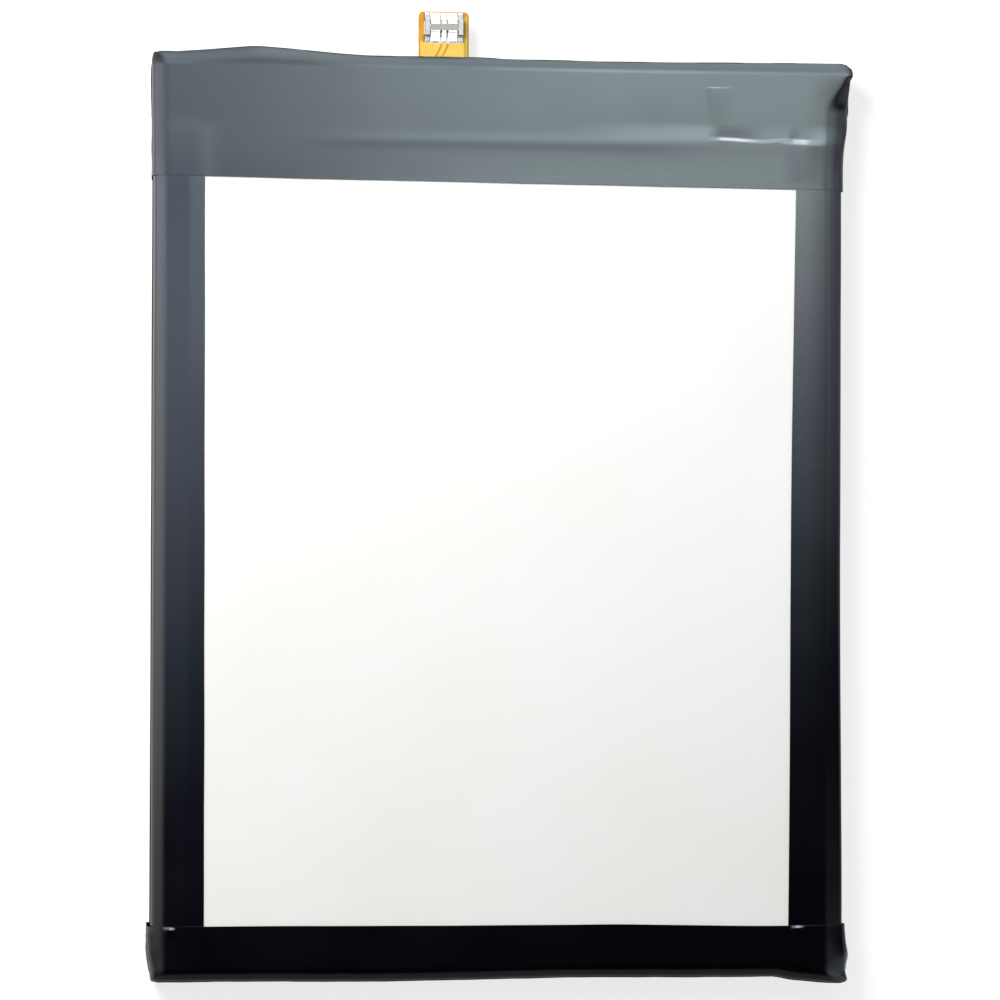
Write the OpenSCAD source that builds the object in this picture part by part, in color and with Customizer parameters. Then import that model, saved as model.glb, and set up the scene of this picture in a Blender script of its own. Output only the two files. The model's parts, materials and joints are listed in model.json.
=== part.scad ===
/* [Pack] */
// Overall width of the taped pack, along X
pack_w = 63; // [56:0.5:70]
// Overall length of the taped pack without the flex tail, along Y
pack_l = 83.6; // [78:0.2:90]
// Overall thickness of the pack with its mounting tape, along Z
pack_t = 5; // [4.9:0.05:5.5]
// Rounding of the front edges
front_r = 1.3; // [1.1:0.1:1.5]
// Rounding of the back edges
back_r = 0.5; // [0.4:0.1:0.6]

/* [Tapes and label] */
// Thickness of the black film tapes
film_t = 0.1; // [0.06:0.01:0.1]
// Thickness of the white label
label_t = 0.1; // [0.06:0.01:0.1]
// Width of the head tape on the front and the back
head_band = 11.4; // [10:0.1:13]
// Width of the foot tape on the front and the back
foot_band = 4.8; // [4:0.1:7]
// Width of the left side tape on the front and the back
left_band = 4.8; // [3.5:0.1:7]
// Width of the right side tape on the front and the back
right_band = 4.5; // [3.5:0.1:7]

/* [Mounting tape] */
// How far the mounting tape stands out past the black tapes on the back
stand_off = 0.05; // [0.02:0.01:0.1]
// Margin between the mounting tape and the black tapes round it
mount_margin = 1; // [0.5:0.1:3]

/* [Pouch] */
// Thickness of the aluminium laminate
laminate_t = 0.15; // [0.1:0.01:0.16]
// Length of the sealed terrace beyond the drawn cup
terrace_l = 5.6; // [5:0.1:6]
// Room between the end of the cup and the head end of the pack
head_room = 8.2; // [8:0.1:9]
// Height of the folded side and foot seals
seal_fold = 3; // [2:0.1:3.2]

/* [Winding] */
// Number of turns in the flat winding
turns = 6; // [3:1:7]
// Free room in the cup beyond the head end of the winding
tab_room = 1.6; // [1.4:0.1:4]
// How far the separators stand out past the electrodes at each end
separator_over = 0.8; // [0.5:0.1:1]

/* [Tabs] */
// Width of the two metal tabs
tab_w = 5; // [4:0.5:6]
// Thickness of the two metal tabs
tab_t = 0.1; // [0.08:0.01:0.1]
// Place of the aluminium tab across the pack
cathode_x = -17; // [-20:0.5:-12]
// Place of the nickel tab across the pack
anode_x = 15; // [12:0.5:20]

/* [Protection board] */
// Length of the circuit board, along X
board_w = 50; // [48:0.5:54]
// Width of the circuit board, along Y
board_l = 5.4; // [5:0.1:5.6]
// Thickness of the circuit board
board_t = 0.6; // [0.4:0.1:0.8]

/* [Flex tail] */
// Width of the flex circuit
flex_w = 4.6; // [4.2:0.1:6]
// Thickness of the flex circuit
flex_t = 0.15; // [0.1:0.01:0.2]
// Place of the flex circuit across the pack
flex_x = -5; // [-6:0.1:-4]
// How far the flex tail reaches out of the head end
tail_reach = 4.4; // [4.2:0.1:8]
// Distance of the bend line from the head end
bend_out = 0.45; // [0.4:0.05:0.6]

/* [Connector] */
// Length of the connector body, along X
conn_w = 3.44; // [3.3:0.02:3.7]
// Width of the connector body, along Y
conn_l = 1.44; // [1.4:0.02:1.6]
// Height of the connector body
conn_h = 0.6; // [0.5:0.02:0.65]

/* [Hidden] */
$fn = 48;

// Assembly gap between touching layers
gap = 0.01;
// Overlap used where one cut runs through another solid
cut = 1;

// Free space left between pieces that don't touch
play = 0.05;

// Depth of each wrapped layer below the outside of the pack
side_depth = film_t + gap;
pouch_depth = 2 * side_depth;
front_depth = 2 * side_depth + label_t + gap;

// Pouch: cover on the back, drawn cup towards the label
cover_z = stand_off + pouch_depth;
flange_z = cover_z + laminate_t + gap;
cup_top = pack_t - front_depth;
wall_x = pack_w / 2 - pouch_depth;
wall_y = pack_l / 2 - pouch_depth;
fold_step = laminate_t + gap;
cup_x = wall_x - 2 * fold_step - play;
cup_foot = -(wall_y - 2 * fold_step - play);
cup_head = pack_l / 2 - head_room;
terrace_end = cup_head + terrace_l;
cup_r = 1;
corner_r = 1;
seal_start = corner_r + 0.5;
seal_end = cup_head - 0.5;
seal_top = flange_z + seal_fold;
label_margin = front_r + 0.6;
label_end = cup_head - 0.3;

// Tab passage between the two sheets of the terrace
seal_film_t = 0.04;
seal_film_w = tab_w + 3;
seal_film_end = terrace_end + 0.3;
passage_h = tab_t + 2 * seal_film_t + 4 * gap;
passage_w = seal_film_w + 4 * play;
tab_z = flange_z - gap + passage_h / 2;
bump_top = flange_z + passage_h + laminate_t;

// Winding, a flat spiral of four layers a turn
cavity_h = cup_top - laminate_t - flange_z;
core_z = flange_z + cavity_h / 2;
end_tape_t = 0.06;
roll_r = cavity_h / 2 - 2 * gap - end_tape_t - play;
core_r = 0.1;
pitch = (roll_r - core_r) / (turns + 1);
separator_share = 0.12;
separator_t = separator_share * pitch;
electrode_t = pitch / 2 - separator_t - 2 * gap;
roll_x = cup_x - laminate_t - roll_r - 2 * play;
foot_room = 0.5;
roll_foot = cup_foot + laminate_t + foot_room;
roll_head = cup_head - laminate_t - tab_room;
separator_l = roll_head - roll_foot;
electrode_l = separator_l - 2 * separator_over;

// Head: tabs, board, flex and foam above the terrace
terrace_tape_t = 0.06;
tab_bend_y = terrace_end + 0.35;
tab_lift = 0.6;
upper_tab_z = bump_top + terrace_tape_t + tab_lift;
plate_t = 0.15;
plate_inset = 0.5;
plate_over = 0.4;
plate_z = upper_tab_z + tab_t / 2 + gap;
board_z = plate_z + plate_t + gap;
board_top = board_z + board_t;
board_start = cup_head + 0.4;
board_y = board_start + board_l / 2;
flex_z = board_top + gap + flex_t / 2;
part_z = board_top + gap;
tall_part = 0.8;
wrap_t = 0.06;
wrap_z = part_z + tall_part + play;
wrap_end = pack_l / 2 - film_t - 0.35;
wrap_low = bump_top + 0.3;
wrap_w = board_w + 2;
foam_w = board_w + 4;
foam_start = cup_head + 0.3;
foam_z = wrap_z + wrap_t + gap;
foam_top = pack_t - 2 * side_depth - gap;

// Flex tail and connector, measured from the bend line
bend_y = pack_l / 2 + bend_out;
tail_l = tail_reach - bend_out;
tail_r = 0.5;
tail_top = flex_z + flex_t / 2;
slot_w = flex_w + 0.4;
slot_h = flex_t + 0.3;
root_reach = 1.2;
joint_w = 0.7;
joint_pitch = 1.1;
joint_y = -1.6;
stiffener_t = 0.2;
stiffener_l = 2.9;
conn_inset = 1.48;
conn_y = bend_y + tail_l - conn_inset;
pad_t = 0.04;
pad_spread = 0.06;
pad_tuck = 0.14;
pad_z = tail_top + gap;
foot_z = pad_z + pad_t + gap;
contact_t = 0.1;
foot_reach = 1.2;
base_t = 0.16;
tongue_l = 0.62;
cap_w = 0.4;
power_w = 0.8;
signal_w = 0.36;
power_x = 0.79;
tongue_lip = 0.06;

// Parts on the board: places along X, and size in X, Y and Z
part_rows = [1.4, 0.4, 0, -1.2];
switch_places = [2.5, 7];
switch_size = [3, 2.2, tall_part];
chip_places = [-14, -10.5];
chip_size = [1.8, 1.8, 0.6];
sense_place = 11;
sense_size = [2, 1.2, 0.5];
resistor_places = [-16.5 : -1.6 : -24.5];
resistor_size = [1, 0.5, 0.35];
capacitor_places = [14.5 : 1.8 : 21.7];
capacitor_size = [1, 0.5, 0.5];
thermistor_place = -22;
thermistor_size = [1.2, 0.8, 0.6];

// Points of a strip of the given thickness that follows a path of points
function unit(v) = v / norm(v);
function heading(path, i) =
    i == 0 ? unit(path[1] - path[0]) :
    i == len(path) - 1 ? unit(path[i] - path[i - 1]) :
    unit(unit(path[i] - path[i - 1]) + unit(path[i + 1] - path[i]));
function mitre(path, i) =
    i == 0 || i == len(path) - 1 ? 1 :
    1 / (heading(path, i) * unit(path[i + 1] - path[i]));
function side_point(path, i, d) =
    path[i] + d * mitre(path, i) * [-heading(path, i)[1], heading(path, i)[0]];
function strip(path, t) = concat(
    [for (i = [0 : len(path) - 1]) side_point(path, i, t / 2)],
    [for (i = [len(path) - 1 : -1 : 0]) side_point(path, i, -t / 2)]);

// Points along a round bend
function bend(centre, r, from, to, steps = 10) =
    [for (i = [0 : steps])
        let (a = from + (to - from) * i / steps)
        centre + r * [cos(a), sin(a)]];

// Flat spiral: round ends joined by straight runs, growing by one pitch a turn
steps_per_half = 12;
function half_turn(k, r, side) =
    [for (i = [0 : steps_per_half])
        let (a = 180 * i / steps_per_half, g = r + pitch * (k + i / steps_per_half) / 2)
        [side * (roll_x + g * sin(a)), -side * g * cos(a)]];
function spiral(r, n) =
    [for (k = [0 : 2 * n - 1]) each half_turn(k, r, k % 2 == 0 ? 1 : -1)];

// Rounded section standing on the given depth inside the pack's outline
module outline_section(w, depth) {
    x = w / 2 - depth;
    low = stand_off + depth;
    top = pack_t - depth;
    r_top = front_r - depth;
    r_low = back_r - depth;
    polygon([
        [-x, low + r_low], [-x + r_low, low], [x - r_low, low], [x, low + r_low],
        [x, top - r_top], [x - r_top, top], [-x + r_top, top], [-x, top - r_top]
    ]);
    for (s = [-1, 1]) {
        translate([s * (x - r_low), low + r_low]) circle(r_low);
        translate([s * (x - r_top), top - r_top]) circle(r_top);
    }
}

// The pack's outside, shrunk by a depth on every side
module pack_form(depth) {
    intersection() {
        translate([0, pack_l / 2 - depth, 0])
            rotate([90, 0, 0])
                linear_extrude(pack_l - 2 * depth) outline_section(pack_w, depth);
        translate([-pack_w / 2, 0, 0])
            rotate([90, 0, 90])
                linear_extrude(pack_w) outline_section(pack_l, depth);
    }
}

// One wrapped film, a skin of the pack's outside at the given depth
module film_skin(depth) {
    difference() {
        pack_form(depth);
        pack_form(depth + film_t);
    }
}

// Upright box given by its corner and size in X and Y, and its two heights
module block(x0, x1, y0, y1, z0, z1) {
    translate([x0, y0, z0]) cube([x1 - x0, y1 - y0, z1 - z0]);
}

// Section in the YZ plane, swept along X about the given middle
module sweep_x(middle, w) {
    translate([middle - w / 2, 0, 0]) rotate([90, 0, 90]) linear_extrude(w) children();
}

// Section in the XZ plane, swept along Y between two places
module sweep_y(y0, y1) {
    translate([0, y1, 0]) rotate([90, 0, 0]) linear_extrude(y1 - y0) children();
}

module label() {
    label_z = cup_top + gap;
    color("white")
        block(-pack_w / 2 + label_margin, pack_w / 2 - label_margin,
            -pack_l / 2 + label_margin, label_end, label_z, label_z + label_t);
}

module head_tape() {
    color("#5a646b")
        difference() {
            intersection() {
                film_skin(0);
                block(-pack_w, pack_w, pack_l / 2 - head_band, pack_l, -cut, pack_t + cut);
            }
            block(flex_x - slot_w / 2, flex_x + slot_w / 2, pack_l / 2 - cut, pack_l,
                flex_z - slot_h / 2, flex_z + slot_h / 2);
        }
}

module foot_tape() {
    color("#101014")
        intersection() {
            film_skin(0);
            block(-pack_w, pack_w, -pack_l, -pack_l / 2 + foot_band, -cut, pack_t + cut);
        }
}

// A side tape runs the whole length under the head and foot tapes
module side_tape(x0, x1) {
    end_clear = front_r + 0.3;
    under_head = 2;
    intersection() {
        film_skin(side_depth);
        block(x0, x1, -pack_l / 2 + end_clear, cup_head + under_head, -cut, pack_t + cut);
    }
}

module left_tape() {
    color("#3a4048") side_tape(-pack_w, -pack_w / 2 + left_band);
}

module right_tape() {
    color("#2a2e33") side_tape(pack_w / 2 - right_band, pack_w);
}

// Double-sided tape on the pouch's back, whose outer face bonds the pack in place
module mounting_tape() {
    color("#d8d2c0")
        block(-pack_w / 2 + left_band + mount_margin, pack_w / 2 - right_band - mount_margin,
            -pack_l / 2 + foot_band + mount_margin, pack_l / 2 - head_band - mount_margin,
            0, cover_z - gap);
}

// Box with upright round corners and rounded long top edges
module cup_form(x, y0, y1, z0, z1, r, edge) {
    intersection() {
        translate([0, 0, z0]) linear_extrude(z1 - z0) {
            translate([-x + r, y0]) square([2 * (x - r), y1 - y0]);
            translate([-x, y0 + r]) square([2 * x, y1 - y0 - 2 * r]);
            for (sx = [-1, 1], y = [y0 + r, y1 - r])
                translate([sx * (x - r), y]) circle(r);
        }
        sweep_y(y0, y1) {
            translate([-x, z0]) square([2 * x, z1 - z0 - edge]);
            translate([-x + edge, z0]) square([2 * (x - edge), z1 - z0]);
            for (s = [-1, 1])
                translate([s * (x - edge), z1 - edge]) circle(edge);
        }
    }
}

// Folded-up seal walls of one laminate sheet, at the given half width and foot place
module seal_walls(x, y_foot, z0) {
    for (s = [-1, 1])
        block(s * x - laminate_t / 2, s * x + laminate_t / 2,
            cup_foot + seal_start, seal_end, z0, seal_top);
    block(-cup_x + seal_start, cup_x - seal_start,
        y_foot - laminate_t / 2, y_foot + laminate_t / 2, z0, seal_top);
}

module tab_passages(h, w, z0) {
    for (x = [cathode_x, anode_x])
        block(x - w / 2, x + w / 2, cup_head - laminate_t - cut, terrace_end, z0, z0 + h);
}

module pouch_cup() {
    inner_x = cup_x - laminate_t;
    seal_x = wall_x - fold_step - laminate_t / 2 - gap;
    seal_y = -(wall_y - fold_step - laminate_t / 2 - gap);
    color("silver")
        difference() {
            union() {
                cup_form(cup_x, cup_foot, cup_head, flange_z, cup_top, corner_r, cup_r);
                block(-seal_x - laminate_t / 2, seal_x + laminate_t / 2,
                    cup_foot + seal_start, seal_end, flange_z, flange_z + laminate_t);
                block(-cup_x + seal_start, cup_x - seal_start,
                    seal_y - laminate_t / 2, 0, flange_z, flange_z + laminate_t);
                block(-cup_x + corner_r, cup_x - corner_r,
                    cup_head - laminate_t, terrace_end, flange_z, flange_z + laminate_t);
                seal_walls(seal_x, seal_y, flange_z);
                tab_passages(passage_h + laminate_t, passage_w + 2 * laminate_t, flange_z);
            }
            cup_form(inner_x, cup_foot + laminate_t, cup_head - laminate_t,
                flange_z - cut, cup_top - laminate_t,
                corner_r - laminate_t, cup_r - laminate_t);
            translate([0, 0, -cut])
                tab_passages(passage_h + cut, passage_w, flange_z);
            block(-passage_w, passage_w, terrace_end, terrace_end + cut, 0, cup_top);
        }
}

module pouch_cover() {
    seal_x = wall_x - laminate_t / 2 - gap;
    seal_y = -(wall_y - laminate_t / 2 - gap);
    color("#c4c8cc")
        intersection() {
            union() {
                block(-seal_x - laminate_t / 2, seal_x + laminate_t / 2,
                    cup_foot + seal_start, seal_end, cover_z, cover_z + laminate_t);
                block(-cup_x + seal_start, cup_x - seal_start,
                    seal_y - laminate_t / 2, 0, cover_z, cover_z + laminate_t);
                block(-cup_x + corner_r, cup_x - corner_r,
                    0, terrace_end, cover_z, cover_z + laminate_t);
                seal_walls(seal_x, seal_y, cover_z);
            }
            pack_form(pouch_depth);
        }
}

// One wound layer: a spiral band of thickness t whose inner face starts at radius r
module wound_layer(r, t, l) {
    y0 = roll_foot + (separator_l - l) / 2;
    inner = spiral(r, turns);
    outer = spiral(r + t, turns);
    translate([0, 0, core_z])
        sweep_y(y0, y0 + l)
            polygon(concat(inner, [for (i = [len(outer) - 1 : -1 : 0]) outer[i]]));
}

module inner_separator() {
    color("ivory") wound_layer(core_r, separator_t, separator_l);
}

module cathode_foil() {
    color("#2f3236") wound_layer(core_r + separator_t + gap, electrode_t, electrode_l);
}

module outer_separator() {
    color("floralwhite") wound_layer(core_r + pitch / 2, separator_t, separator_l);
}

module anode_foil() {
    color("#3d2f26")
        wound_layer(core_r + pitch / 2 + separator_t + gap, electrode_t, electrode_l);
}

// Tape that holds the outer end of the winding, wrapped over its left round end
module winding_end_tape() {
    tape_l = 40;
    reach = 6;
    r = roll_r + gap + end_tape_t / 2;
    arc = bend([-roll_x, 0], r + pitch / 24, 90, 270, 24);
    path = concat([[-roll_x + reach, arc[0][1]]], arc, [[-roll_x + reach, -arc[0][1]]]);
    color("seagreen")
        translate([0, 0, core_z])
            sweep_y(-tape_l / 2, tape_l / 2) polygon(strip(path, end_tape_t));
}

// A tab leaves the core, drops to the terrace and folds back under the board
module tab(x) {
    inside = 8;
    drop_start = roll_head + 0.25;
    drop_end = cup_head - laminate_t - 0.35;
    weld_l = 0.6;
    fold_r = (upper_tab_z - tab_z) / 2;
    path = concat(
        [[roll_head - inside, core_z], [drop_start, core_z], [drop_end, tab_z]],
        bend([tab_bend_y, tab_z + fold_r], fold_r, -90, 90),
        [[board_start + weld_l, upper_tab_z]]);
    sweep_x(x, tab_w) polygon(strip(path, tab_t));
}

module cathode_tab() {
    color("gainsboro") tab(cathode_x);
}

module anode_tab() {
    color("darkkhaki") tab(anode_x);
}

// Polymer sleeve that seals a tab between the two laminate sheets
module seal_film(x) {
    y0 = cup_head - laminate_t;
    h = passage_h / 2 - gap;
    difference() {
        block(x - seal_film_w / 2, x + seal_film_w / 2, y0, seal_film_end,
            tab_z - h, tab_z + h);
        block(x - tab_w / 2 - gap, x + tab_w / 2 + gap, y0 - cut, seal_film_end + cut,
            tab_z - h + seal_film_t, tab_z + h - seal_film_t);
    }
}

module cathode_seal_film() {
    color("honeydew") seal_film(cathode_x);
}

module anode_seal_film() {
    color("honeydew") seal_film(anode_x);
}

module terrace_tape() {
    z0 = bump_top + gap;
    color("goldenrod")
        block(-board_w / 2, board_w / 2, cup_head + 2 * play, terrace_end,
            z0, z0 + terrace_tape_t);
}

module circuit_board() {
    notch = 0.6;
    color("darkgreen")
        difference() {
            block(-board_w / 2, board_w / 2, board_start, board_start + board_l,
                board_z, board_top);
            for (s = [-1, 1])
                translate([s * board_w / 2, board_y, board_z - cut])
                    cylinder(r = notch, h = board_t + 2 * cut);
        }
}

module weld_plate(x) {
    block(x - tab_w / 2 - plate_over, x + tab_w / 2 + plate_over,
        board_start + plate_inset, board_start + board_l - plate_inset,
        plate_z, plate_z + plate_t);
}

module cathode_weld_plate() {
    color("lightgray") weld_plate(cathode_x);
}

module anode_weld_plate() {
    color("lightgray") weld_plate(anode_x);
}

// Rectangular part on the board, given by its middle and its size
module board_part(x, y, size) {
    translate([x - size[0] / 2, board_y + y - size[1] / 2, part_z]) cube(size);
}

module power_switches() {
    color("#222222")
        for (x = switch_places) board_part(x, part_rows[2], switch_size);
}

module protection_chips() {
    color("#1a1a1a")
        for (x = chip_places) board_part(x, part_rows[1], chip_size);
}

module sense_resistor() {
    color("#444444") board_part(sense_place, part_rows[2], sense_size);
}

module chip_resistors() {
    color("black")
        for (x = resistor_places) board_part(x, part_rows[0], resistor_size);
}

module chip_capacitors() {
    color("peru")
        for (x = capacitor_places) board_part(x, part_rows[3], capacitor_size);
}

module thermistor() {
    color("darkslategray") board_part(thermistor_place, part_rows[3], thermistor_size);
}

// Insulating film over the parts and down the head side, with a slot for the flex
module board_wrap() {
    path = [[board_start, wrap_z + wrap_t / 2],
        [wrap_end, wrap_z + wrap_t / 2], [wrap_end, wrap_low]];
    color("darkorange")
        difference() {
            sweep_x(0, wrap_w) polygon(strip(path, wrap_t));
            block(flex_x - slot_w / 2, flex_x + slot_w / 2, wrap_end - cut, wrap_end + cut,
                flex_z - slot_h / 2, flex_z + slot_h / 2);
        }
}

module head_foam() {
    color("#33363a")
        block(-foam_w / 2, foam_w / 2, foam_start, pack_l / 2 - film_t - front_r,
            foam_z, foam_top);
}

// Fixed part of the flex, soldered to the board and ending just short of the bend line
module flex_root() {
    y0 = board_y - root_reach;
    y1 = bend_y - flex_t / 2 - 2 * gap;
    color("gold")
        block(flex_x - flex_w / 2, flex_x + flex_w / 2, y0, y1,
            flex_z - flex_t / 2, flex_z + flex_t / 2);
}

module flex_solder() {
    color("lightsteelblue")
        for (i = [-1.5 : 1 : 1.5])
            board_part(flex_x + joint_pitch * i, joint_y, [joint_w, joint_w, flex_t]);
}

// Moving end of the flex: round on the bend line, with two round outer corners
module flex_tail() {
    color("gold")
        intersection() {
            sweep_x(flex_x, flex_w)
                translate([bend_y, flex_z]) {
                    circle(flex_t / 2);
                    translate([0, -flex_t / 2]) square([tail_l, flex_t]);
                }
            translate([flex_x, bend_y, 0]) linear_extrude(pack_t) tail_outline();
        }
}

module tail_outline() {
    x = flex_w / 2;
    translate([-x, -cut]) square([flex_w, cut + tail_l - tail_r]);
    translate([-x + tail_r, 0]) square([flex_w - 2 * tail_r, tail_l]);
    for (s = [-1, 1])
        translate([s * (x - tail_r), tail_l - tail_r]) circle(tail_r);
}

module tail_stiffener() {
    z1 = flex_z - flex_t / 2 - gap;
    color("darkgoldenrod")
        translate([flex_x, bend_y, z1 - stiffener_t])
            linear_extrude(stiffener_t)
                intersection() {
                    tail_outline();
                    translate([-flex_w, tail_l - stiffener_l])
                        square([2 * flex_w, stiffener_l]);
                }
}

// Puts a piece at each place of the connector's own solder feet
module at_connector() {
    translate([flex_x, conn_y, 0]) children();
}

module solder_pads() {
    color("whitesmoke")
        at_connector()
            for (s = [-1, 1]) {
                for (p = [[-power_x, power_w], [0, signal_w], [power_x, power_w]])
                    pad(p[0], s, p[1] + pad_spread);
                for (e = [-1, 1])
                    pad(e * (conn_w - cap_w) / 2, s, cap_w);
            }
}

module pad(x, s, w) {
    l = foot_reach - conn_l / 2 + pad_tuck;
    mid = s * (conn_l / 2 + l / 2);
    block(x - w / 2, x + w / 2, mid - l / 2, mid + l / 2, pad_z, pad_z + pad_t);
}

module connector_housing() {
    x = conn_w / 2 - cap_w - gap;
    color("darkgray")
        at_connector() {
            block(-x, x, -conn_l / 2, conn_l / 2, foot_z, foot_z + base_t);
            block(-x, x, -tongue_l / 2, tongue_l / 2, foot_z, foot_z + conn_h);
        }
}

// Bent contact: foot on its pad, over the base and up the side of the tongue
module contact(x, s, w) {
    y_in = tongue_l / 2 + gap + contact_t / 2;
    z_foot = foot_z + contact_t / 2;
    z_over = foot_z + base_t + gap + contact_t / 2;
    step = conn_l / 2 + gap + contact_t / 2;
    path = [[foot_reach, z_foot], [step, z_foot], [step, z_over],
        [y_in, z_over], [y_in, foot_z + conn_h - tongue_lip]];
    mirror([0, s < 0 ? 1 : 0, 0]) sweep_x(x, w) polygon(strip(path, contact_t));
}

module power_contacts() {
    color("gainsboro")
        at_connector()
            for (x = [-power_x, power_x], s = [-1, 1]) contact(x, s, power_w);
}

module signal_contacts() {
    color("gainsboro")
        at_connector()
            for (s = [-1, 1]) contact(0, s, signal_w);
}

// Metal cap over each end of the connector, with a solder foot at both corners
module connector_end_caps() {
    color("silver")
        at_connector()
            for (s = [-1, 1]) {
                x = s * (conn_w - cap_w) / 2;
                block(x - cap_w / 2, x + cap_w / 2, -conn_l / 2, conn_l / 2,
                    foot_z, foot_z + conn_h);
                block(x - cap_w / 2, x + cap_w / 2, -foot_reach, foot_reach,
                    foot_z, foot_z + contact_t);
            }
}

label();
head_tape();
foot_tape();
left_tape();
right_tape();
mounting_tape();
pouch_cup();
pouch_cover();
cathode_foil();
anode_foil();
inner_separator();
outer_separator();
winding_end_tape();
cathode_tab();
anode_tab();
cathode_seal_film();
anode_seal_film();
terrace_tape();
circuit_board();
cathode_weld_plate();
anode_weld_plate();
power_switches();
protection_chips();
sense_resistor();
chip_resistors();
chip_capacitors();
thermistor();
board_wrap();
head_foam();
flex_root();
flex_solder();
flex_tail();
tail_stiffener();
solder_pads();
connector_housing();
power_contacts();
signal_contacts();
connector_end_caps();
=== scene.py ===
"""Looks for a flat pouch battery cell: film tapes, blank label, flex tail and board connector.

Sizes are in millimetres until a mesh is made; the CAD frame gives the places.
"""
import json
import math

import bpy
import numpy as np
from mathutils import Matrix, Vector


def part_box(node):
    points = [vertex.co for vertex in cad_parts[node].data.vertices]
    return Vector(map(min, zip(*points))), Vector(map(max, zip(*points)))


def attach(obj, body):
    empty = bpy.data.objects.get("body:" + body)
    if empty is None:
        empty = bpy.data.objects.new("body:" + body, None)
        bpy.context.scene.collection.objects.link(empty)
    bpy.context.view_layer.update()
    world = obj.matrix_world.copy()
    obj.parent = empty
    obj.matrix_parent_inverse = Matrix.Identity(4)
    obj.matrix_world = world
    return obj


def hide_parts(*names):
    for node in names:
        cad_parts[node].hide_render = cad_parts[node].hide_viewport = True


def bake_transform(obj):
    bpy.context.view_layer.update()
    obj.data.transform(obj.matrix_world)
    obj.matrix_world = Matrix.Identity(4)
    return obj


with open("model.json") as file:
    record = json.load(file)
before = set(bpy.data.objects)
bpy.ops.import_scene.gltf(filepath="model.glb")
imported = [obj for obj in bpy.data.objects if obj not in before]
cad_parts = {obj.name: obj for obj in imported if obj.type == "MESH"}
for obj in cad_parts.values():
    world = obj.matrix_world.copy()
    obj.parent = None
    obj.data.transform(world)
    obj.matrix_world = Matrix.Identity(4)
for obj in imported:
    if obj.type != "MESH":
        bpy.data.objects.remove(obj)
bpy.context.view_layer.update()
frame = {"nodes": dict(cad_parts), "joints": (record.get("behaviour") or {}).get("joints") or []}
MM = 0.001


def box_mm(node):
    """Lowest and highest corner of a CAD node, in millimetres."""
    low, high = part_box(node)
    return np.array(low) / MM, np.array(high) / MM


HEAD_LOW, HEAD_HIGH = box_mm("head_tape")
FOOT_LOW, FOOT_HIGH = box_mm("foot_tape")
LEFT_LOW, LEFT_HIGH = box_mm("left_tape")
RIGHT_LOW, RIGHT_HIGH = box_mm("right_tape")
LABEL_LOW, LABEL_HIGH = box_mm("label")
TAIL_LOW, TAIL_HIGH = box_mm("flex_tail")
ROOT_LOW, ROOT_HIGH = box_mm("flex_root")
PADS_LOW, PADS_HIGH = box_mm("solder_pads")
HINGE = np.array(frame["joints"][0]["pos_m"]) / MM

# thickness of the film and the label, and the radii of the film's long and end edges
FILM_T = 0.08
LABEL_T = 0.08
FRONT_R = 1.3
BACK_R = 0.5
END_R = 1.1
END_BACK_R = 0.5
SIDE_X = HEAD_HIGH[0]
LABEL_END = LABEL_HIGH[1]
# how far the film falls behind the end of the cup
DROP = 0.08
# slopes that turn the film towards the sparkle lamp, at the head and at the foot
LAMP_SLOPE = 0.25
FOOT_LAMP_SLOPE = 0.354
FLEX_CORNER_R = 0.42

# ---------------------------------------------------------------- mesh helpers


def smooth(edge0, edge1, x):
    """0 before edge0, 1 after edge1, smooth between them."""
    t = np.clip((np.asarray(x, float) - edge0) / (edge1 - edge0), 0, 1)
    return t * t * (3 - 2 * t)


def hump(x, centre, width):
    """A bell of height 1."""
    return np.exp(-(((x - centre) / width) ** 2))


def waves(x, y, length, seed, count=10):
    """Smooth random relief between about -1 and 1, with features of the given length."""
    rng = np.random.default_rng(seed)
    total = np.zeros(np.broadcast(x, y).shape)
    for _ in range(count):
        turn, phase = rng.uniform(0, 2 * math.pi, 2)
        k = 2 * math.pi / (length * rng.uniform(0.6, 1.6))
        total += np.cos(k * (x * math.cos(turn) + y * math.sin(turn)) + phase)
    return total / math.sqrt(2 * count)


def grid_faces(rows, cols, start=0, closed=False):
    """Quads of a grid of points stored row by row; a closed grid joins its last column to its first."""
    faces = []
    for r in range(rows - 1):
        for c in range(cols if closed else cols - 1):
            a, b = start + r * cols + c, start + r * cols + (c + 1) % cols
            faces.append((a, b, b + cols, a + cols))
    return faces


def mesh_piece(name, points, faces, material, flat=False):
    """A mesh object from points in millimetres."""
    mesh = bpy.data.meshes.new(name)
    mesh.from_pydata((np.asarray(points) * MM).tolist(), [], faces)
    mesh.validate()
    mesh.materials.append(material)
    mesh.shade_flat() if flat else mesh.shade_smooth()
    obj = bpy.data.objects.new(name, mesh)
    bpy.context.scene.collection.objects.link(obj)
    return obj


def apply_modifiers(obj):
    """Turns the modifiers into the piece's own mesh."""
    graph = bpy.context.evaluated_depsgraph_get()
    mesh = bpy.data.meshes.new_from_object(obj.evaluated_get(graph))
    obj.modifiers.clear()
    obj.data = mesh


def merge_points(obj, distance=1e-7):
    """Joins the points of rows that meet."""
    weld = obj.modifiers.new("weld", "WELD")
    weld.merge_threshold = distance
    apply_modifiers(obj)


def give_thickness(obj, thickness, offset=-1.0):
    """Turns a sheet into a closed piece; offset -1 adds the thickness inwards, 0 to both sides."""
    solid = obj.modifiers.new("thickness", "SOLIDIFY")
    solid.thickness = thickness * MM
    solid.offset = offset
    solid.use_even_offset = False
    apply_modifiers(obj)


def sharpen(obj, angle=38):
    """Keeps thin cut edges crisp in the shading."""
    obj.data.set_sharp_from_angle(angle=math.radians(angle))


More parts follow.
